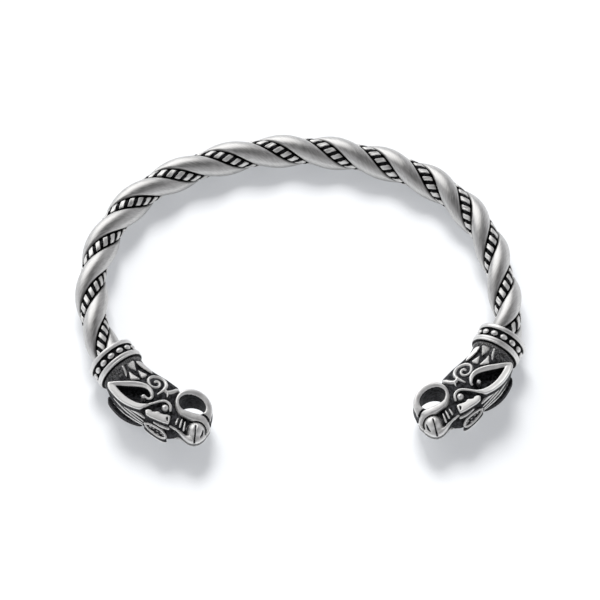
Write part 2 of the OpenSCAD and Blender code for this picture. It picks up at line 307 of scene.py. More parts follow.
def worn_black_steel(name, bright_low, bright_high, black, soot_grey, rubbed_rough):
    """Cast stainless steel, blackened all over and rubbed bright on whatever
    stands proud: clean satin tops, soft grey shoulders and black recesses."""
    finish, tree = new_finish(name)
    place = add(tree, "ShaderNodeTexCoord")
    wear = add(tree, "ShaderNodeAttribute", {"attribute_name": "wear"})
    # the rubbed edge wanders by the size of a casting grain
    grain = add(tree, "ShaderNodeTexNoise",
                {"Scale": 1 / (CAST_GRAIN * MM), "Detail": 3.0, "Roughness": 0.6},
                {"Vector": place.outputs["Object"]})
    wander = add(tree, "ShaderNodeMapRange", {"To Min": -0.16, "To Max": 0.16},
                 {"Value": grain.outputs["Fac"]})
    rubbed = add(tree, "ShaderNodeMath", {"operation": "ADD"},
                 {0: wear.outputs["Fac"], 1: wander.outputs["Result"]})
    mask = add(tree, "ShaderNodeMapRange",
               {"From Min": 0.32, "From Max": 0.72, "interpolation_type": "SMOOTHSTEP"},
               {"Value": rubbed.outputs["Value"]})
    # hand rubbing leaves tone and sheen uneven by the millimetre
    shade = add(tree, "ShaderNodeTexNoise", {"Scale": 1 / (HAND_PATCH * MM), "Detail": 2.0},
                {"Vector": place.outputs["Object"]})
    tone = add(tree, "ShaderNodeMix",
               {"data_type": "RGBA", 6: linear(bright_low), 7: linear(bright_high)},
               {0: shade.outputs["Fac"]})
    uneven = add(tree, "ShaderNodeMapRange",
                 {"From Min": 0.3, "From Max": 0.7, "To Min": -0.09, "To Max": 0.09},
                 {"Value": shade.outputs["Fac"]})
    rough = add(tree, "ShaderNodeMapRange", {"To Min": 0.6, "To Max": rubbed_rough},
                {"Value": mask.outputs["Result"]})
    sheen = add(tree, "ShaderNodeMath", {"operation": "ADD"},
                {0: rough.outputs["Result"], 1: uneven.outputs["Result"]})
    # soot comes off in small patches with grainy edges
    soot_grain = add(tree, "ShaderNodeTexNoise",
                     {"Scale": 1 / (SOOT_PATCH * MM), "Detail": 5.0, "Roughness": 0.68},
                     {"Vector": place.outputs["Object"]})
    patches = add(tree, "ShaderNodeMapRange", {"From Min": 0.4, "From Max": 0.62},
                  {"Value": soot_grain.outputs["Fac"]})
    soot = add(tree, "ShaderNodeMix",
               {"data_type": "RGBA", 6: linear(black), 7: linear(soot_grey)},
               {0: patches.outputs["Result"]})
    colour = add(tree, "ShaderNodeMix", {"data_type": "RGBA"},
                 {0: mask.outputs["Result"], 6: soot.outputs[2], 7: tone.outputs[2]})
    # soot is not metal, and lets only a part of the metal through
    metal = add(tree, "ShaderNodeMapRange", {"To Min": 0.6, "To Max": 1.0},
                {"Value": mask.outputs["Result"]})
    bump = add(tree, "ShaderNodeBump", {"Strength": 0.2, "Distance": 0.00003},
               {"Height": grain.outputs["Fac"]})
    shader = add(tree, "ShaderNodeBsdfPrincipled", {"Specular IOR Level": 0.15},
                 {"Base Color": colour.outputs[2], "Metallic": metal.outputs["Result"],
                  "Roughness": sheen.outputs["Value"], "Normal": bump.outputs["Normal"]})
    add(tree, "ShaderNodeOutputMaterial", None, {"Surface": shader.outputs["BSDF"]})
    return finish


STRAND_FINISH = satin_steel()
ROPE_FINISH = worn_black_steel("blackened_rope_steel_rubbed_bright",
                               "#d0cfcd", "#e6e5e2", "#060607", "#222224", 0.46)
COLLAR_FINISH = worn_black_steel("turned_steel_blackened_groove",
                                 "#d8d7d5", "#e9e8e6", "#060607", "#222224", 0.46)
HEAD_FINISH = worn_black_steel("cast_steel_blackened_recesses",
                               "#dddcda", "#eeedeb", "#0a0a0b", "#434346", 0.5)


# Bar


BAR_START = -(LEFT_LEN + SEAT_DEPTH)
BAR_END = RIGHT_LEN + SEAT_DEPTH


def strand_section():
    """Radius and angle of a smooth strand's section: a lobe with a hollow on
    each side for a roped wire, its sharp corners eased."""
    lobe_r = LOBE_SHARE * BAR_R
    offset = BAR_R - lobe_r
    hollow_r = ROPE_D / 2 + GAP
    angles = np.radians(np.linspace(-LOBE_HALF_ANGLE, LOBE_HALF_ANGLE, 41))
    reach = offset * np.cos(angles) + np.sqrt(lobe_r ** 2 - (offset * np.sin(angles)) ** 2)
    lobe = np.column_stack([reach * np.cos(angles), reach * np.sin(angles)])
    turn = np.radians(np.linspace(*HOLLOW_TURN, 15))
    upper = np.column_stack([hollow_r * np.cos(turn), ROPE_OFFSET - hollow_r * np.sin(turn)])
    lower = upper[::-1] * [1, -1]
    outline = np.vstack([lower, lobe, upper])
    steps = np.linalg.norm(np.diff(outline, axis=0, append=outline[:1]), axis=1)
    place = np.concatenate([[0], np.cumsum(steps)])
    even = np.linspace(0, place[-1], SECTION_STEPS + 1)[:-1]
    closed = np.vstack([outline, outline[:1]])
    ring = np.column_stack([np.interp(even, place, closed[:, k]) for k in (0, 1)])
    shifts = np.arange(-12, 13)
    weights = np.exp(-0.5 * (shifts * place[-1] / SECTION_STEPS / CORNER_EASE) ** 2)
    eased = sum(w * np.roll(ring, k, axis=0) for k, w in zip(shifts, weights)) / weights.sum()
    return eased[::5]


def smooth_strand(name, node, phase):
    """One thick smooth strand, swept along the bar and turned with the twist."""
    section = strand_section()
    radius = np.hypot(section[:, 0], section[:, 1])
    angle = np.arctan2(section[:, 1], section[:, 0])
    rings, sides = 560, len(section)
    s = np.repeat(np.linspace(BAR_START, BAR_END, rings), sides)
    points = bar_surface(s, np.tile(radius, rings), np.tile(angle, rings) + twist(s) + phase)
    steps = np.linalg.norm(np.diff(section, axis=0, append=section[:1]), axis=1)
    around = np.concatenate([[0], np.cumsum(steps)[:-1]])
    length = np.hypot(1, 2 * math.pi * BAR_R / RIGHT_PITCH)
    uvs = np.column_stack([s * length, np.tile(around, rings)])
    # tarnish stays where a strand turns down into the groove
    wear = np.tile(1 - np.clip((TARNISH_R - radius) / TARNISH_FADE, 0, 1), rings)
    faces = tube_faces(rings, sides)
    piece(name, at_rest(points), faces, node, STRAND_FINISH, wear, uvs)


smooth_strand("satin_strand_a", "smooth_strand_a", math.pi / 2)
smooth_strand("satin_strand_b", "smooth_strand_b", 3 * math.pi / 2)


# Roped wires: how much smaller the radius is under the tiles, and how far from
# the ends of the bar the tiles stop
WIRE_UNDERCUT = 0.02
BARE_END = 2.2

# Tiles: pitch along the wire, half length, half width, lean of the rungs, how
# far a tile's top stands from the bar's middle, the radius that its place round
# the bar is measured at, and the radius that its top is rounded to
TILE_PITCH = 1.65
TILE_HALF_LEN = 0.46
TILE_HALF_WIDTH = 0.8
TILE_LEAN = -0.5
TILE_TOP = 2.34
TILE_PATH_R = 2.25
TILE_CROWN_R = 1.7
TILE_SIDES = 20

# Inset, height over the top and brightness, from a tile's foot to its face, and
# how far the middle of the face is dimpled
TILE_LAYERS = [(0.0, -0.5, 0.0), (0.0, -0.1, 0.55), (0.04, -0.03, 1.0), (0.1, 0.0, 1.0),
               (0.25, -0.02, 0.9)]
TILE_DIMPLE = 0.05


def tile_outline(inset):
    """A rounded oblong in the tile's own plane."""
    a = 2 * math.pi * (np.arange(TILE_SIDES) + 0.5) / TILE_SIDES
    power = 2 / 9
    x = np.sign(np.cos(a)) * np.abs(np.cos(a)) ** power * (TILE_HALF_LEN - inset)
    y = np.sign(np.sin(a)) * np.abs(np.sin(a)) ** power * (TILE_HALF_WIDTH - inset)
    return x, y


def rope_wire(name, node, phase, seed):
    """A round wire with a ladder of slanted tiles raised on it. The tiles differ
    a little in size, and some are pitted and darker in the middle."""
    chance = np.random.default_rng(seed)
    rings, sides = 480, 20
    a = 2 * math.pi * np.arange(sides) / sides
    wire_r = ROPE_D / 2 - WIRE_UNDERCUT
    section = np.column_stack([ROPE_OFFSET + wire_r * np.cos(a), wire_r * np.sin(a)])
    radius = np.hypot(section[:, 0], section[:, 1])
    angle = np.arctan2(section[:, 1], section[:, 0])
    s = np.repeat(np.linspace(BAR_START, BAR_END, rings), sides)
    points = [bar_surface(s, np.tile(radius, rings), np.tile(angle, rings) + twist(s) + phase)]
    faces = tube_faces(rings, sides)
    wear = [np.zeros(rings * sides)]
    start = rings * sides
    # a step along the wire, as its parts along the bar and round it
    slope = 2 * math.pi * TILE_PATH_R / RIGHT_PITCH
    ds, dt = 1 / math.hypot(1, slope), slope / math.hypot(1, slope)
    for middle in np.arange(BAR_START + BARE_END, BAR_END - BARE_END, TILE_PITCH * ds):
        size = chance.normal(0, 0.02)
        pit = chance.uniform(0, 0.06)
        for inset, height, bright in TILE_LAYERS:
            x, y = tile_outline(inset + size)
            x = x + TILE_LEAN * y
            s = middle + ds * x - dt * y
            turn = twist([middle])[0] + (dt * x + ds * y) / TILE_PATH_R
            top = TILE_TOP + height - y ** 2 / (2 * TILE_CROWN_R)
            points.append(bar_surface(s, top, turn + phase))
            wear.append(np.full(TILE_SIDES, bright))
        top = np.array([TILE_TOP - TILE_DIMPLE - pit])
        points.append(bar_surface(np.array([middle]), top, twist([middle]) + phase))
        wear.append(np.array([0.95 - 8 * pit]))
        tip = start + len(TILE_LAYERS) * TILE_SIDES
        faces += band_faces(start, len(TILE_LAYERS), TILE_SIDES)
        faces += fan_faces(tip - TILE_SIDES, tip, TILE_SIDES)
        faces.append(tuple(range(start + TILE_SIDES - 1, start - 1, -1)))
        start = tip + 1
    points = at_rest(np.vstack(points))
    piece(name, points, faces, node, ROPE_FINISH, np.concatenate(wear))


rope_wire("tiled_wire_a", "rope_wire_a", 0.0, 3)
rope_wire("tiled_wire_b", "rope_wire_b", math.pi, 7)


# Collars


# Rims, from the rear forward: length from where the rim starts, depth below the
# collar's radius, and brightness. The front rim has a step turned in it.
REAR_RIM_SHAPE = [
    (0.0, 0.3, 0.8), (0.03, 0.14, 1), (0.12, 0.03, 1), (0.26, 0.0, 1), (0.52, 0.0, 1),
    (0.67, 0.04, 1), (0.77, 0.15, 0.8), (REAR_RIM, 0.3, 0.15)]
FRONT_RIM_SHAPE = [
    (0.0, 0.3, 0.15), (0.03, 0.13, 0.8), (0.12, 0.02, 1), (0.24, 0.0, 1), (0.5, 0.02, 1),
    (0.58, 0.1, 0.62), (0.66, 0.1, 0.62), (0.74, 0.06, 1), (FRONT_RIM - 0.22, 0.08, 1),
    (FRONT_RIM - 0.1, 0.2, 0.45), (FRONT_RIM, 0.34, 0.2)]


def collar_profile():
    """Length along the collar, radius and brightness, from the bore round the
    outside: a narrow rear rim, the groove, and a stepped front rim."""
    groove = COLLAR_R - GROOVE_DEPTH
    bore = BAR_R + GAP
    back, front = -COLLAR_LEN, 0.0
    groove_start, groove_end = back + REAR_RIM, front - FRONT_RIM
    rows = [(back + 0.02, bore, 0.2), (back, bore + 0.1, 0.3)]
    rows += [(back + length, COLLAR_R - depth, bright) for length, depth, bright in REAR_RIM_SHAPE]
    rows += [(groove_start, groove + 0.05, 0), (groove_start + 0.08, groove, 0),
             (groove_end - 0.08, groove, 0), (groove_end, groove + 0.05, 0)]
    rows += [(groove_end + length, COLLAR_R - depth, bright)
             for length, depth, bright in FRONT_RIM_SHAPE]
    rows += [(front, bore + 0.35, 0.15), (front - 0.05, bore, 0.1)]
    return np.array(rows)


def collar(name, node, end, side):
    """A turned collar with beads in its groove, each rubbed bright on top."""
    profile = collar_profile()
    rings, sides = 128, len(profile)
    points, faces, wear = [], [], []
    for t in 2 * math.pi * np.arange(rings) / rings:
        points.append(profile[:, [0, 1, 1]] * [1, math.cos(t), math.sin(t)])
        wear.append(profile[:, 2])
    for i in range(rings):
        for k in range(sides):
            a, b = i * sides + k, i * sides + (k + 1) % sides
            c, d = (i + 1) % rings * sides + (k + 1) % sides, (i + 1) % rings * sides + k
            faces.append((a, b, c, d))
    start = rings * sides
    groove_mid = -COLLAR_LEN + (COLLAR_LEN + REAR_RIM - FRONT_RIM) / 2
    # a bead is a stack of rings, from near its top to under the groove's floor
    levels, count = 10, 20
    tilts = np.pi * (np.arange(levels) + 0.5) / (levels + 6)
    turns = 2 * math.pi * np.arange(count)[:, None] / count
    for number in range(BEAD_COUNT):
        t = 2 * math.pi * (number + 0.5) / BEAD_COUNT
        outward = np.array([0, math.sin(t), math.cos(t)])
        across = np.array([0, math.cos(t), -math.sin(t)])
        middle = outward * (COLLAR_R - BEAD_R) + [groove_mid, 0, 0]
        around = BEAD_STRETCH * np.cos(turns) * across + np.sin(turns) * [1.0, 0, 0]
        for tilt in tilts:
            points.append(middle + BEAD_R * (math.cos(tilt) * outward + math.sin(tilt) * around))
            wear.append(np.full(count, np.clip(2.2 - tilt * 1.35, 0, 1)))
        points.append((middle + BEAD_R * outward)[None])
        wear.append(np.array([1.0]))
        top = start + levels * count
        faces += [(a, d, c, b) for a, b, c, d in band_faces(start, levels, count)]
        faces += fan_faces(start, top, count)
        faces.append(tuple(range(top - count, top)))
        start = top + 1
    if side > 0:
        faces = [face[::-1] for face in faces]
    points = on_end(np.vstack(points), end)
    piece(name, points, faces, node, COLLAR_FINISH, np.concatenate(wear))


collar("beaded_collar_left", "collar_left", LEFT_END, -1)
collar("beaded_collar_right", "collar_right", RIGHT_END, 1)


# Heads


# A head is worked out on a fine grid, in its own frame: U runs forward from
# the collar, V to the crest and Z out of the broad side. Both broad sides carry
# the same relief, so only one half is worked out, then mirrored.

CELL = 0.112
GRID_U = np.arange(-1.9, 20.3, CELL)
GRID_V = np.arange(-5.7, 8.9, CELL)
GRID_Z = (np.arange(40) + 0.5) * CELL

# How far the spigot runs on inside the head
SPIGOT_ROOT = 0.6

# Body sections: length along the head, throat edge, crest edge, half
# thickness, and how square the crest half is
BODY = np.array([
    [0.1, -3.95, 3.95, 3.95, 2.0],
    [1.2, -4.15, 3.7, 3.75, 2.2],
    [2.5, -4.55, 3.6, 3.45, 2.6],
    [4.2, -4.75, 4.0, 3.2, 3.2],
    [6.8, -4.4, 4.9, 3.1, 3.4],
    [9.0, -3.75, 5.5, 2.9, 3.4],
    [10.0, -3.4, 5.2, 2.8, 3.3],
    [11.4, -3.0, 4.0, 2.65, 3.2],
    [13.4, -2.4, 2.8, 2.4, 3.0],
    [14.8, -1.55, 2.5, 2.15, 2.8],
    [15.15, -0.9, 2.4, 2.05, 2.7],
    [15.45, 0.2, 2.3, 1.85, 2.6],
    [16.4, 0.75, 2.0, 1.25, 2.4]])


def body_section(u):
    return [np.interp(u, BODY[:, 0], BODY[:, k]) for k in range(1, 5)]


def body_height(u, v):
    """Height of the bare body's broad side above the middle plane."""
    low, high, thick, power = body_section(u)
    share = (v - (low + high) / 2) / ((high - low) / 2)
    power = np.where(share > 0, power, 2)
    return thick * np.maximum(1 - np.abs(share) ** power, 0.0) ** (1 / power)


def flank_point(u, degrees):
    """V and Z on the body's throat half, at an angle from its keel."""
    low, high, thick, _ = body_section(u)
    turn = math.radians(degrees)
    return (low + high) / 2 - (high - low) / 2 * math.cos(turn), thick * math.sin(turn)


def eased_corner(side, over, edge):
    """Distance to the corner of two faces, rounded to the radius edge."""
    p, q = side + edge, over + edge
    return np.hypot(np.maximum(p, 0), np.maximum(q, 0)) + np.minimum(np.maximum(p, q), 0) - edge


def window(low, high, margin=0.45):
    """The part of the grid around a box, as slices."""
    parts = []
    for axis, a, b in zip((GRID_U, GRID_V, GRID_Z), low, high):
        first = np.searchsorted(axis, a - margin)
        last = np.searchsorted(axis, b + margin)
        parts.append(slice(first, max(last, first + 1)))
    return tuple(parts)


def grid_in(part):
    axes = [axis[cells] for axis, cells in zip((GRID_U, GRID_V, GRID_Z), part)]
    return np.meshgrid(*axes, indexing="ij", sparse=True)


class Casting:
    """Half of a head: a distance field, negative inside the metal, and how
    bright each place is rubbed."""

    def __init__(self, field, shine):
        self.field = field
        self.shine = shine

    def copy(self):
        return Casting(self.field.copy(), self.shine.copy())

    def join(self, part, distance, shine, blend=0.08):
        old = self.field[part]
        share = np.clip(0.5 + 0.5 * (old - distance) / blend, 0, 1)
        self.shine[part] += (shine - self.shine[part]) * share
        self.field[part] = old + (distance - old) * share - blend * share * (1 - share)

    def cut(self, part, distance, shine, blend=0.08):
        old = self.field[part]
        share = np.clip(0.5 - 0.5 * (old + distance) / blend, 0, 1)
        self.shine[part] += (shine - self.shine[part]) * share
        self.field[part] = old + (-distance - old) * share + blend * share * (1 - share)


def bead_field(part, middle, radius, stretch=1.0):
    """Distance to a bead, which may be stretched along Z."""
    u, v, z = grid_in(part)
    up = (z - middle[2]) / stretch
    return np.sqrt((u - middle[0]) ** 2 + (v - middle[1]) ** 2 + up ** 2) - radius


def wire_field(line):
    """Distance to a wire through rows of u, v, z and radius, and the height
    above its middle line in radii."""
    part = window((line[:, :3] - line[:, 3:]).min(0), (line[:, :3] + line[:, 3:]).max(0))
    u, v, z = grid_in(part)
    field = np.full(np.broadcast_shapes(u.shape, v.shape, z.shape), 9.0)
    over = np.zeros(field.shape)
    for a, b in zip(line[:-1], line[1:]):
        reach = max(a[3], b[3])
        near = window(np.minimum(a, b)[:3] - reach, np.maximum(a, b)[:3] + reach)
        near = tuple(slice(max(n.start, p.start), min(n.stop, p.stop)) for n, p in zip(near, part))
        inner = tuple(slice(n.start - p.start, n.stop - p.start) for n, p in zip(near, part))
        u, v, z = grid_in(near)
        step = (b - a)[:3]
        t = (u - a[0]) * step[0] + (v - a[1]) * step[1] + (z - a[2]) * step[2]
        t = np.clip(t / max(step @ step, 1e-9), 0, 1)
        up = z - a[2] - t * step[2]
        off = np.sqrt((u - a[0] - t * step[0]) ** 2 + (v - a[1] - t * step[1]) ** 2 + up ** 2)
        off = off - a[3] - t * (b[3] - a[3])
        over[inner] = np.where(off < field[inner], up / reach, over[inner])
        field[inner] = np.minimum(field[inner], off)
    return part, field, over


def lay_wire(casting, line, shine=1.0, blend=0.08, dark_sides=True):
    """Joins a wire on, rubbed on its upper side and black where it meets the ground."""
    part, field, over = wire_field(line)
    if dark_sides:
        shine = shine * np.clip((over + 0.45) / 0.5, 0, 1)
    casting.join(part, field, shine, blend)


def raised_wire(casting, points, rise, shine=1.0):
    """A wire laid on the broad side through rows of u, v and radius, so that
    it stands proud by rise."""
    line = smooth_line(points, 0.25)
    top = body_height(line[:, 0], line[:, 1]) + rise
    line = np.column_stack([line[:, :2], top - line[:, 2], line[:, 2]])
    lay_wire(casting, line, shine)


def free_wire(casting, points, dark_sides=True):
    """A wire through rows of u, v, z of its top, and radius."""
    line = smooth_line(points, 0.25)
    line[:, 2] -= line[:, 3]
    lay_wire(casting, line, dark_sides=dark_sides)


def flank_wire(casting, points):
    """A fin along the throat, through rows of u, degrees from the keel, radius."""
    rows = [(u, *flank_point(u, degrees), r) for u, degrees, r in points]
    lay_wire(casting, smooth_line(rows, 0.3), blend=0.06, dark_sides=False)


def outline_distance(part, outline):
    """Signed distance in U and V to a closed outline, negative inside it."""
    u = GRID_U[part[0]][:, None, None]
    v = GRID_V[part[1]][None, :, None]
    a, b = outline, np.roll(outline, -1, axis=0)
    step = b - a
    t = (u - a[:, 0]) * step[:, 0] + (v - a[:, 1]) * step[:, 1]
    t = np.clip(t / np.maximum((step ** 2).sum(1), 1e-9), 0, 1)
    off = np.hypot(u - a[:, 0] - t * step[:, 0], v - a[:, 1] - t * step[:, 1]).min(2)
    above = (a[:, 1] > v) != (b[:, 1] > v)
    drop = np.where(np.abs(step[:, 1]) < 1e-9, 1e-9, step[:, 1])
    crossed = above & (u < a[:, 0] + (v - a[:, 1]) / drop * step[:, 0])
    inside = crossed.sum(2) % 2 == 1
    return np.where(inside, -off, off)[:, :, None]


def plate_field(outline, top, depth, edge, tilt=(0, 0), dome=0.0, round_outline=True):
    """A plate with an eased edge: its outline, the level of its top, how far
    down it reaches, and how its top leans along U and V or swells."""
    line = np.array(outline, float)
    if round_outline:
        line = smooth_line(outline, 0.2, closed=True)
    middle = line.mean(0)
    part = window((*line.min(0), top - depth), (*line.max(0), top + 0.3))
    u, v, z = grid_in(part)
    side = outline_distance(part, line)
    lean = (u - middle[0]) * tilt[0] + (v - middle[1]) * tilt[1]
    swell = dome * np.clip(-side, 0, 1.2)
    over = z - (top + lean + swell)
    return part, np.maximum(eased_corner(side, over, edge), top - depth - z), over


def plate(casting, outline, top, depth, edge, shine=1.0, dark_sides=True, **shape):
    """Joins a plate on, rubbed on its top and black at the foot of its sides."""
    part, field, over = plate_field(outline, top, depth, edge, **shape)
    if dark_sides:
        shine = shine * np.clip((over + 0.5) / 0.25, 0, 1)
    casting.join(part, field, shine)


def carve(casting, outline, floor, shine=0.0):
    """Cuts away what lies inside an outline above a level."""
    line = smooth_line(outline, 0.2, closed=True)
    part = window((*line.min(0), floor), (*line.max(0), GRID_Z[-1]))
    z = grid_in(part)[2]
    side = outline_distance(part, line)
    casting.cut(part, np.maximum(side, floor - z), shine)


def bare_body():
    """The head before any relief is laid on it, with the spigot in its collar."""
    u, v, z = grid_in((slice(None),) * 3)
    low, high, thick, power = body_section(u)
    half = (high - low) / 2
    share = (v - (low + high) / 2) / half
    power = np.where(share > 0, power, 2)
    swell = (np.abs(share) ** power + (z / thick) ** power) ** (1 / power)
    slopes = np.gradient(swell, CELL)
    steep = np.sqrt(sum(slope ** 2 for slope in slopes))
    field = (swell - 1) / np.maximum(steep, 0.15)
    field = np.maximum(field, np.maximum(BODY[0, 0] - u, u - BODY[-1, 0]))
    spigot = np.maximum(np.hypot(v, z) - BAR_R, np.maximum(-SEAT_DEPTH - u, u - SPIGOT_ROOT))
    # the black is thinner and mottled on the neck, and full further on
    ground = np.interp(u, [0.4, 2.0, 3.6], [0.36, 0.37, 0.08])
    # the back of the crest is what a sleeve rubs, so it is half bright
    near_crest = np.clip((v - high + 1.4) / 0.6, 0, 1)
    back_rub = 0.5 * np.clip((0.85 - z / thick) / 0.6, 0, 1) * near_crest
    return Casting(np.minimum(field, spigot), np.maximum(ground, back_rub))


# Ear: the thin rim over the hollow, and the broad foot under it
EAR_RIDGE = [
    (1.9, -4.15, 3.62, 0.34), (2.55, -3.15, 3.72, 0.32), (3.45, -1.95, 3.8, 0.3),
    (4.45, -0.7, 3.84, 0.3), (5.5, 0.25, 3.84, 0.3), (6.5, 0.72, 3.8, 0.3),
    (7.5, 0.75, 3.72, 0.29), (8.25, 0.35, 3.62, 0.26), (8.55, -0.05, 3.55, 0.2)]
EAR_SLOPE = [
    (1.75, -4.2), (2.5, -3.05), (3.4, -1.8), (4.4, -0.5), (5.4, 0.4), (6.4, 0.85), (7.4, 0.9), (8.3, 0.45),
    (8.35, 0.1), (7.5, 0.3), (6.75, 0.2), (5.95, -0.3), (4.95, -1.3), (3.95, -2.45), (3.05, -3.55)]
EAR_FOOT = [
    (1.65, -4.2), (2.1, -3.7), (3.0, -3.62), (4.4, -3.58), (5.9, -3.38), (7.4, -2.82), (8.4, -2.12),
    (9.1, -1.3), (9.35, -1.35), (9.25, -2.2), (9.1, -2.95), (8.3, -3.6), (7.25, -4.2), (6.2, -4.6),
    (5.0, -4.85), (3.4, -4.9), (2.2, -4.75)]
EAR_FOOT_LIP = [
    (2.1, -4.5, 3.58, 0.16), (3.3, -4.7, 3.66, 0.16), (5.0, -4.64, 3.7, 0.16), (6.2, -4.38, 3.7, 0.16),
    (7.25, -3.98, 3.68, 0.16), (8.3, -3.4, 3.62, 0.16), (9.0, -2.8, 3.55, 0.15)]
EAR_HOLLOW = [
    (3.0, -3.5), (3.95, -2.4), (4.95, -1.27), (5.95, -0.27), (6.75, 0.22), (7.5, 0.3), (8.15, 0.05),
    (8.6, -0.4), (9.0, -1.0), (8.4, -2.1), (7.4, -2.8), (5.9, -3.36), (4.4, -3.56), (3.2, -3.6)]
BROW = [
    (9.15, -1.9, 3.5, 0.24), (9.3, -1.15, 3.5, 0.22), (9.6, -0.15, 3.46, 0.2), (10.0, 0.95, 3.42, 0.22),
    (10.5, 1.6, 3.4, 0.24), (11.15, 1.82, 3.36, 0.24), (11.8, 1.7, 3.3, 0.24), (12.4, 1.2, 3.2, 0.2)]
EYE_SOCKET = [
    (9.65, -2.0), (9.8, -0.9), (10.2, 0.5), (10.7, 1.3), (11.3, 1.5), (11.9, 1.3), (12.5, 0.8), (12.9, 0.4),
    (12.3, 0.0), (11.6, -0.3), (11.0, -0.7), (10.4, -1.2), (9.95, -1.7)]

# Eye: a round bead in the socket
EYE_BEAD = (11.42, 0.78, 2.92)
EYE_BEAD_R = 0.62
EYE_BEAD_BOX = ((10.8, 0.1, 2), (12.1, 1.4, 3.5))

# Cheek under the eye, with a notched upper edge, and under it the strip, the
# line of the jaw and the slats
CHEEK = [
    (9.75, -2.3), (9.9, -1.8), (10.35, -1.4), (10.65, -1.45), (10.95, -1.15), (11.15, -0.7), (11.5, -0.45),
    (11.8, -0.52), (12.2, -0.2), (12.65, 0.28), (13.1, 0.6), (13.35, 0.5), (13.65, 0.15), (13.95, -0.2),
    (14.2, -0.6), (13.5, -1.15), (12.3, -1.85), (11.3, -2.4), (10.5, -2.65)]
CHEEK_NOTCH = [(13.2, 0.08), (13.8, -0.5), (13.25, -0.36), (13.05, -0.12)]
CHEEK_STRIP = [
    (11.95, -2.1, 1.85, 0.12), (12.9, -1.72, 1.95, 0.2), (13.75, -1.28, 1.98, 0.25),
    (14.45, -0.82, 1.95, 0.22)]
JAW_LINE = [
    (14.4, -0.4, 2.2, 0.12), (15.1, 0.02, 1.98, 0.18), (16.0, 0.42, 1.45, 0.18),
    (16.8, 0.68, 1.2, 0.15)]
SLATS = [
    [(14.1, 1.6, 2.42, 0.1), (14.4, 1.15, 2.5, 0.15), (14.75, 0.65, 2.5, 0.17)],
    [(14.65, 2.05, 2.32, 0.1), (15.1, 1.45, 2.42, 0.17), (15.6, 0.85, 2.36, 0.18)],
    [(15.3, 2.2, 2.12, 0.1), (15.85, 1.62, 2.2, 0.17), (16.4, 1.05, 2.12, 0.18)]]

# Crest: the curl, its branch with a spur, and the small oval between them
CREST_CURL = [
    (8.55, 1.3, 0.14), (8.5, 2.3, 0.22), (8.33, 3.1, 0.27), (7.95, 3.68, 0.27), (7.3, 3.95, 0.25),
    (6.5, 3.87, 0.24), (5.75, 3.42, 0.24), (5.27, 2.8, 0.24), (5.15, 2.2, 0.24), (5.35, 1.72, 0.24),
    (5.85, 1.42, 0.23), (6.45, 1.34, 0.21), (7.05, 1.57, 0.2), (7.4, 2.02, 0.2), (7.45, 2.52, 0.2),
    (7.15, 2.87, 0.2), (6.75, 2.92, 0.19), (6.42, 2.72, 0.19), (6.35, 2.42, 0.23)]
CREST_BRANCH = [
    (8.45, 2.85, 0.24), (9.0, 2.9, 0.28), (9.35, 3.2, 0.33), (9.55, 3.9, 0.34), (9.6, 4.8, 0.34)]
CREST_SPUR = [(9.2, 3.0, 0.22), (9.65, 2.65, 0.16), (9.95, 2.3, 0.08)]
CREST_OVAL = [(8.55, 3.35), (8.85, 3.3), (9.05, 3.6), (9.05, 4.1), (8.85, 4.45), (8.6, 4.45), (8.4, 4.0)]

# Neck: small raised triangles between dark strokes, each with its top and its
# brightness, a strip at the crest and a line over the ear
NECK_PLATES = [
    ([(0.9, 1.75), (1.25, 1.72), (2.85, 0.95), (1.35, 0.3), (0.9, 0.4)], 3.75, 0.5),
    ([(2.85, 1.33), (4.45, 2.1), (4.6, 1.7), (4.5, 1.05), (4.25, 0.98)], 3.5, 0.85),
    ([(2.3, -0.1), (4.4, 0.55), (4.5, 0.42), (3.65, -0.7), (3.4, -0.72)], 3.62, 0.85)]
NECK_STRIP = [(1.3, 2.1), (2.3, 2.05), (3.6, 2.45), (4.7, 2.95), (4.3, 3.25), (2.9, 3.0), (1.8, 2.8)]
NECK_LINE = [(0.8, -0.45, 0.09), (1.8, -0.66, 0.14), (2.7, -1.05, 0.08)]

# Throat: long fins under the ear, and the scale that hangs under the jaw, with
# specks raised on it
FINS = [
    [(4.3, 29, 0.07), (5.6, 31, 0.24), (7.4, 32.5, 0.34), (9.0, 33, 0.32), (10.1, 31, 0.14)],
    [(4.0, 23, 0.08), (6.2, 23, 0.13), (8.3, 20.5, 0.13), (10.3, 17, 0.08)],
    [(3.7, 16.5, 0.1), (6.2, 13.5, 0.15), (8.4, 9.5, 0.15), (10.3, 5, 0.09)]]
SCALE = [
    (10.7, -3.3), (11.3, -2.85), (12.1, -2.45), (13.3, -1.97), (14.3, -1.68), (15.0, -1.66), (15.3, -1.92),
    (15.05, -2.36), (14.0, -2.88), (12.6, -3.26), (11.4, -3.42)]
SCALE_LEVEL = 0.95
SCALE_TILT = (-0.23, 0.7)
SPECKS = [
    (12.0, -2.85), (12.6, -2.6), (12.9, -2.95), (13.4, -2.4), (13.8, -2.6), (14.2, -2.1),
    (14.7, -2.05)]


def throat_scale(casting):
    """A leaning plate under the jaw: a bright rim round a dark, specked middle."""
    plate(casting, SCALE, SCALE_LEVEL, depth=3.0, edge=0.15, shine=0.12, tilt=SCALE_TILT)
    middle = smooth_line(SCALE, 0.2, closed=True).mean(0)

    def on_scale(points, radius):
        points = np.array(points)
        lean = (points - middle) @ SCALE_TILT
        return np.column_stack([points, SCALE_LEVEL + lean, np.full(len(points), radius)])

    rim = [(u + 0.03 * (middle[0] - u), v + 0.1 * (middle[1] - v)) for u, v in SCALE]
    rim_line = smooth_line(on_scale(rim + rim[:1], 0.15), 0.25)
    lay_wire(casting, rim_line, dark_sides=False)
    for u, v in SPECKS:
        speck = on_scale([(u - 0.15, v - 0.06), (u + 0.15, v + 0.06)], 0.1)
        lay_wire(casting, speck, shine=0.55, dark_sides=False)


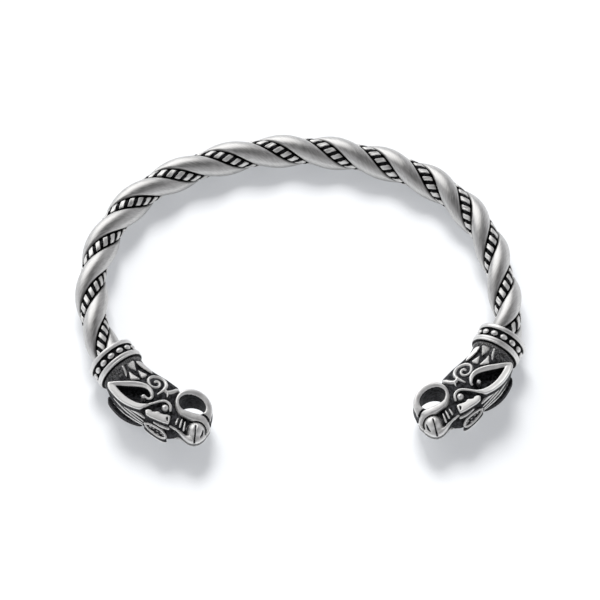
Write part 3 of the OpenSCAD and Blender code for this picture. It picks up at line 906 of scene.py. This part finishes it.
# Snout ring: middle, half length, half height and lean of its outside and of
# its eye, the radius of its edges, its half thickness at the root, and how fast
# it thins towards the nose
RING_MIDDLE = (13.8, 5.22)
RING_OUTER = (3.42, 2.95)
RING_LEAN = math.radians(15)
RING_EYE_MIDDLE = (13.48, 5.16)
RING_EYE = (2.37, 1.68)
RING_EYE_LEAN = math.radians(32)
RING_EDGE = 0.52
RING_TOP = 3.0
RING_ROOT = 11.0
RING_THINNING = 0.21

# The lower right of the ring is trimmed straight, where the lip leaves it: a
# point on the cut and the direction out of the metal
TRIM_POINT = (14.45, 2.62)
TRIM_OUT = (0.506, -0.862)

# Boxes that hold the ring, its eye and the ball
RING_BOX = ((9.6, 1.2, 0), (18.3, 8.5, 3.2))
RING_EYE_BOX = ((10.4, 2.4, 0), (16.8, 7.6, 4.3))
BALL_BOX = ((15.0, 0.8, 0), (19.7, 5.2, 2.4))


def ring_level(u):
    """The ring's face, thinning from the root towards the nose."""
    return RING_TOP - RING_THINNING * (u - RING_ROOT)


def oval_field(u, v, middle, half, lean):
    """Distance to a leaning oval, near enough, in U and V."""
    x = (u - middle[0]) * math.cos(lean) + (v - middle[1]) * math.sin(lean)
    y = (v - middle[1]) * math.cos(lean) - (u - middle[0]) * math.sin(lean)
    reach = np.sqrt((x / half[0]) ** 2 + (y / half[1]) ** 2) + 1e-6
    slope = np.sqrt((x / half[0] ** 2) ** 2 + (y / half[1] ** 2) ** 2) / reach + 1e-6
    return (reach - 1) / slope


def rubbed_above(z, top):
    """Bright on a face at the level top, black on the walls under it."""
    return np.clip((z - top + 0.65) / 0.3, 0, 1)


def snout_ring(casting):
    """The curled snout: a thick ring with rounded edges."""
    part = window(*RING_BOX, 0.5)
    u, v, z = grid_in(part)
    trim = TRIM_OUT[0] * (u - TRIM_POINT[0]) + TRIM_OUT[1] * (v - TRIM_POINT[1])
    side = np.maximum(oval_field(u, v, RING_MIDDLE, RING_OUTER, RING_LEAN), trim)
    mass = eased_corner(side, z - ring_level(u), RING_EDGE)
    # the wall away from the face is rubbed too, and the one over the slats is black
    back_rub = 0.54 * np.clip((v - 5.4) / 1.2, 0, 1)
    casting.join(part, mass, np.maximum(rubbed_above(z, ring_level(u)), back_rub), 0.1)


def ring_eye(casting):
    """The eye of the ring goes right through, black down its sides."""
    part = window(*RING_EYE_BOX, 0.3)
    u, v, z = grid_in(part)
    hole = oval_field(u, v, RING_EYE_MIDDLE, RING_EYE, RING_EYE_LEAN)
    casting.cut(part, hole, np.where(z > ring_level(u) - 0.14, 1.0, 0.0), 0.45)


def bar_field(rows, edge):
    """A rounded bar across the snout, through rows of u, v, radius, half width."""
    line = smooth_line(rows, 0.25)
    low = (line[:, :2] - line[:, 2:3]).min(0)
    high = (line[:, :2] + line[:, 2:3]).max(0)
    part = window((*low, 0), (*high, line[:, 3].max()))
    u, v, z = grid_in(part)
    field = np.full(np.broadcast_shapes(u.shape, v.shape, z.shape), 9.0)
    for a, b in zip(line[:-1], line[1:]):
        step = (b - a)[:2]
        t = np.clip(((u - a[0]) * step[0] + (v - a[1]) * step[1]) / max(step @ step, 1e-9), 0, 1)
        off = np.hypot(u - a[0] - t * step[0], v - a[1] - t * step[1])
        side = off - a[2] - t * (b[2] - a[2])
        over = z - a[3] - t * (b[3] - a[3])
        field = np.minimum(field, eased_corner(side, over, edge))
    return part, field


# Nose, at the tip of the snout's ring
NOSE = [
    (15.65, 6.9), (15.8, 7.3), (16.4, 7.2), (17.0, 6.6), (17.5, 6.05), (17.2, 5.9), (16.4, 5.95),
    (15.85, 5.85), (15.85, 6.4)]
NOSE_WALL = [(15.2, 6.4, 0.9, 1.6), (16.0, 6.2, 0.85, 1.45), (16.7, 5.6, 0.75, 1.3)]
NOSE_GROOVE = [
    (15.75, 5.42, 1.9, 0.15), (16.4, 5.78, 1.72, 0.2), (17.25, 5.82, 1.5, 0.2),
    (17.95, 5.62, 1.05, 0.16)]

# Lip over the ball, the chin that curls up before it, and the grooves round it
LIP = [
    (13.0, 2.95, 0.35, 2.5), (13.75, 3.02, 0.56, 2.46), (14.8, 3.64, 0.67, 2.25), (16.06, 4.72, 0.69, 1.95),
    (16.8, 5.05, 0.62, 1.6), (17.42, 5.08, 0.57, 1.3), (17.97, 5.0, 0.5, 0.95), (18.4, 4.6, 0.45, 0.75),
    (18.65, 3.9, 0.4, 0.7), (18.75, 3.2, 0.38, 0.75)]
CHIN = [
    (15.4, 0.55, 0.12, 1.3), (16.3, 0.62, 0.2, 1.2), (17.0, 0.8, 0.35, 1.15), (17.6, 1.1, 0.55, 1.15),
    (18.1, 1.5, 0.74, 1.15), (18.55, 2.05, 0.75, 1.1), (18.8, 2.7, 0.6, 0.95), (18.8, 3.35, 0.42, 0.8)]
BALL = (17.2, 3.1, 0.0)
BALL_R = 1.75
BALL_GROOVE = 0.2
BALL_STRETCH = 1.2
POCKET = [(18.3, 4.05, 1.5, 0.22), (18.75, 3.5, 1.25, 0.28), (18.95, 2.85, 1.1, 0.14)]
CREASE = [
    (16.95, 3.3, 2.12, 0.2), (17.45, 2.87, 2.1, 0.2), (17.9, 2.43, 1.82, 0.2), (18.28, 2.08, 1.34, 0.2),
    (18.7, 1.7, 1.1, 0.19), (19.0, 1.42, 0.85, 0.18), (19.2, 1.2, 0.5, 0.16)]


def snout(casting):
    """The lip over the ball, the ball, and the chin that curls up before it."""
    casting.join(*bar_field(NOSE_WALL, 0.4), 0.1, 0.12)
    plate(casting, NOSE, top=1.72, depth=0.7, edge=0.15, tilt=(-0.2, 0))
    ring_eye(casting)
    part, field = bar_field(LIP, 0.34)
    u, _, z = grid_in(part)
    level = np.interp(u, [row[0] for row in LIP], [row[3] for row in LIP])
    side_rubbed = np.interp(u, [16.4, 17.2], [0, 1])
    casting.join(part, field, np.maximum(rubbed_above(z, level), side_rubbed))
    part = window(*BALL_BOX)
    casting.cut(part, bead_field(part, BALL, BALL_R + BALL_GROOVE, BALL_STRETCH), 0.0, 0.05)
    casting.join(part, bead_field(part, BALL, BALL_R, BALL_STRETCH), 1.0, 0.15)
    casting.join(*bar_field(CHIN, 0.6), 1.0, 0.5)
    for line, shine in ((NOSE_GROOVE, 0.0), (POCKET, 0.0), (CREASE, 0.3)):
        groove, field, over = wire_field(smooth_line(line, 0.2))
        casting.cut(groove, field, shine, 0.1)
    # painted shade: the snout's sides are darkened low down, near the floor, because the shadow on the
    # floor mirrors dimly in them
    painted_shade_on_snout = np.interp(GRID_U, [14.0, 16.0], [0, 1])[:, None, None]
    casting.shine *= 1 - painted_shade_on_snout * np.interp(GRID_Z, [0.2, 1.2], [0.6, 0])


def cast_head():
    """The relief that both heads share, laid on in the order that it overlaps."""
    casting = bare_body()
    carve(casting, EYE_SOCKET, floor=2.45)
    for points in (CREST_CURL, CREST_BRANCH, CREST_SPUR):
        raised_wire(casting, points, rise=0.3)
    plate(casting, CREST_OVAL, top=2.85, depth=0.8, edge=0.15, shine=0.3)
    for outline, top, shine in NECK_PLATES:
        plate(casting, outline, top, depth=0.9, edge=0.1, shine=shine, round_outline=False)
    plate(casting, NECK_STRIP, top=3.4, depth=0.9, edge=0.12, shine=0.7, tilt=(0, -0.35))
    raised_wire(casting, NECK_LINE, rise=0.12, shine=0.6)
    for fin in FINS:
        flank_wire(casting, fin)
    throat_scale(casting)
    plate(casting, EAR_SLOPE, top=3.62, depth=1.0, edge=0.1, shine=0.85, dark_sides=False,
          tilt=(0.02, 0.05))
    free_wire(casting, EAR_RIDGE)
    plate(casting, EAR_FOOT, top=3.6, depth=1.6, edge=0.2, shine=0.95)
    free_wire(casting, EAR_FOOT_LIP)
    free_wire(casting, BROW)
    carve(casting, EAR_HOLLOW, floor=1.7)
    plate(casting, CHEEK, top=3.2, depth=1.7, edge=0.18, dome=0.06, tilt=(-0.05, -0.06),
          round_outline=False)
    carve(casting, CHEEK_NOTCH, floor=2.95, shine=0.1)
    part = window(*EYE_BEAD_BOX)
    casting.join(part, bead_field(part, EYE_BEAD, EYE_BEAD_R), 1.0, 0.04)
    free_wire(casting, CHEEK_STRIP)
    for points in (JAW_LINE, *SLATS):
        free_wire(casting, points, dark_sides=False)
    snout_ring(casting)
    snout(casting)
    return casting


def ear_bead(casting):
    """The right head's ear holds a bead on a short post."""
    free_wire(casting, [(7.44, -0.78, 3.55, 0.42), (7.46, -0.79, 2.4, 0.38)])


def ear_hook(casting):
    """The left head's ear rim curls down into a hook that ends in the bead."""
    free_wire(casting, [(8.35, 0.3, 3.62, 0.24), (8.6, -0.15, 3.6, 0.22), (8.35, -0.6, 3.55, 0.2),
                        (7.85, -0.74, 3.55, 0.22), (7.45, -0.85, 3.6, 0.3)])
    free_wire(casting, [(7.45, -0.98, 3.62, 0.4), (7.47, -1.0, 2.4, 0.36)])


def blurred(volume, reach):
    """A volume softened by about reach millimetres along each axis."""
    count = int(3 * reach / CELL)
    weights = np.exp(-0.5 * (np.arange(-count, count + 1) * CELL / reach) ** 2)
    weights /= weights.sum()
    for axis in range(3):
        padding = [(count, count) if k == axis else (0, 0) for k in range(3)]
        padded = np.pad(volume, padding, mode="edge")
        size = volume.shape[axis]
        volume = sum(w * padded.take(range(k, k + size), axis=axis) for k, w in enumerate(weights))
    return volume


def sampled(volume, points):
    """Values of a volume at points given in its cells, by trilinear blending."""
    base = np.clip(np.floor(points).astype(int), 0, np.array(volume.shape) - 2)
    share = np.clip(points - base, 0, 1)
    total = 0
    for corner in range(8):
        step = np.array([corner >> 2 & 1, corner >> 1 & 1, corner & 1])
        weight = np.prod(np.where(step == 1, share, 1 - share), axis=1)
        index = base + step
        total = total + weight * volume[index[:, 0], index[:, 1], index[:, 2]]
    return total


def both_halves(volume):
    """A half of a head joined to its mirror image across the middle plane."""
    return np.concatenate([volume[:, :, ::-1], volume], axis=2).astype(np.float32)


def dragon_head(name, node, casting, end, side):
    """The mesh of a whole casting, with its wear."""
    field = both_halves(casting.field)
    grid = openvdb.FloatGrid(3.0)
    grid.copyFromArray(np.clip(field, -3, 3), tolerance=0)
    points, triangles, quads = grid.convertToPolygons(isovalue=0.0, adaptivity=0.0)
    # recesses keep their black, and what stands proud is rubbed brightest
    metal = np.clip(0.5 - field / (1.5 * CELL), 0, 1)
    buried = sampled(blurred(metal, 0.3), points)
    wear = sampled(both_halves(casting.shine), points)
    wear = np.clip(wear * (1.25 - 1.4 * np.clip(buried - 0.42, 0, 1)) - 0.05, 0, 1)
    first = np.array([GRID_U[0], GRID_V[0], (0.5 - len(GRID_Z)) * CELL])
    faces = quads.tolist() + triangles.tolist()
    if side > 0:
        faces = [face[::-1] for face in faces]
    piece(name, on_end(first + points * CELL, end), faces, node, HEAD_FINISH, wear)


right_casting = cast_head()
left_casting = right_casting.copy()
ear_bead(right_casting)
ear_hook(left_casting)
dragon_head("dragon_head_left", "head_left", left_casting, LEFT_END, -1)
dragon_head("dragon_head_right", "head_right", right_casting, RIGHT_END, 1)


# Floor, light and camera


FLOOR_HALF = 1.5


def floor_finish():
    """White opal acrylic on a light table: matt, even, and glowing a little, so
    that shadows stay pale."""
    finish, tree = new_finish("white_opal_acrylic")
    place = add(tree, "ShaderNodeTexCoord")
    grain = add(tree, "ShaderNodeTexNoise", {"Scale": 1 / (SHEET_GRAIN * MM), "Detail": 2.0},
                {"Vector": place.outputs["Object"]})
    tone = add(tree, "ShaderNodeMix",
               {"data_type": "RGBA", 6: linear("#bcbdbe"), 7: linear("#bebfc0")},
               {0: grain.outputs["Fac"]})
    shader = add(tree, "ShaderNodeBsdfPrincipled",
                 {"Roughness": 0.9, "Specular IOR Level": 0.0,
                  "Emission Color": linear("#9a9c9f"), "Emission Strength": 1.0},
                 {"Base Color": tone.outputs[2]})
    add(tree, "ShaderNodeOutputMaterial", None, {"Surface": shader.outputs["BSDF"]})
    return finish


def floor():
    mesh = bpy.data.meshes.new("floor")
    r = FLOOR_HALF
    mesh.from_pydata([(-r, -r, 0), (r, -r, 0), (r, r, 0), (-r, r, 0)], [], [(0, 1, 2, 3)])
    mesh.materials.append(floor_finish())
    obj = bpy.data.objects.new("floor", mesh)
    bpy.context.scene.collection.objects.link(obj)


# Tent of white cloth: its colour at the floor and overhead, and its brightness
# between them, by the sine of the angle above the floor
TENT_FOOT = (0.62, 0.63, 0.66, 1)
TENT_TOP = (0.16, 0.16, 0.165, 1)
TENT_BETWEEN = [(0.45, 0.62), (0.66, 0.42), (0.88, 0.18)]

# Direction of the softbox: behind, to the left and 33 degrees above the floor
SOFTBOX_WAY = (-0.45, 0.7, 0.55)


def tent():
    """A tent of white cloth: bright low down, brightest behind and to the left,
    and dark overhead, where the camera hangs."""
    world = bpy.data.worlds.new("tent")
    bpy.context.scene.world = world
    world.use_nodes = True
    tree = world.node_tree
    tree.nodes.clear()
    place = add(tree, "ShaderNodeTexCoord")
    way = place.outputs["Generated"]
    parts = add(tree, "ShaderNodeSeparateXYZ", None, {"Vector": way})
    ramp = add(tree, "ShaderNodeValToRGB", None, {"Fac": parts.outputs["Z"]})
    stops = ramp.color_ramp.elements
    stops[0].position, stops[0].color = 0.0, TENT_FOOT
    stops[1].position, stops[1].color = 1.0, TENT_TOP
    for position, level in TENT_BETWEEN:
        stops.new(position).color = (level, level, level * 1.03, 1)
    # how far a direction turns towards the softbox
    aim = add(tree, "ShaderNodeVectorMath", {"operation": "DOT_PRODUCT", 1: SOFTBOX_WAY}, {0: way})
    soft = add(tree, "ShaderNodeMapRange",
               {"From Min": 0.72, "From Max": 0.96, "To Max": 1.6,
                "interpolation_type": "SMOOTHSTEP"},
               {"Value": aim.outputs["Value"]})
    total = add(tree, "ShaderNodeMix", {"data_type": "RGBA", "blend_type": "ADD", 0: 1.0},
                {6: ramp.outputs["Color"], 7: soft.outputs["Result"]})
    background = add(tree, "ShaderNodeBackground", {"Strength": 1.0}, {"Color": total.outputs[2]})
    add(tree, "ShaderNodeOutputWorld", None, {"Surface": background.outputs["Background"]})


# Key lamp, in metres and watts: behind the ring and above it
LAMP_PLACE = Vector((-0.16, 1.2, 1.44))
LAMP_SIZE = 0.7
LAMP_POWER = 41.5


def key_lamp():
    """The lamp casts the shadows, and the tent alone shows in the metal."""
    light = bpy.data.lights.new("key", "AREA")
    light.shape = "RECTANGLE"
    light.size = LAMP_SIZE
    light.size_y = LAMP_SIZE
    light.energy = LAMP_POWER
    obj = bpy.data.objects.new("key", light)
    obj.location = LAMP_PLACE
    obj.rotation_euler = (-LAMP_PLACE).to_track_quat("-Z", "Y").to_euler()
    obj.visible_glossy = False
    obj.visible_camera = False
    bpy.context.scene.collection.objects.link(obj)


# The photograph's view: degrees above the surface, the point it is aimed at in
# millimetres, and the camera's distance and the width of its field in metres
CAMERA_ELEVATION = math.radians(64.7)
CAMERA_AIM = (0.68, -0.84, 3.0)
CAMERA_DISTANCE = 4.0
FIELD_WIDTH = 0.10449


def camera():
    """The photograph's view, from far away with a long lens."""
    data = bpy.data.cameras.new("camera")
    data.sensor_fit = "HORIZONTAL"
    data.angle = 2 * math.atan(FIELD_WIDTH / 2 / CAMERA_DISTANCE)
    data.clip_start, data.clip_end = 0.1, 20
    back = Vector((0, -math.cos(CAMERA_ELEVATION), math.sin(CAMERA_ELEVATION)))
    obj = bpy.data.objects.new("camera", data)
    obj.location = Vector(CAMERA_AIM) * MM + back * CAMERA_DISTANCE
    obj.rotation_euler = (-back).to_track_quat("-Z", "Y").to_euler()
    bpy.context.scene.collection.objects.link(obj)
    bpy.context.scene.camera = obj


floor()
tent()
key_lamp()
camera()
bpy.context.scene.view_settings.view_transform = "Standard"
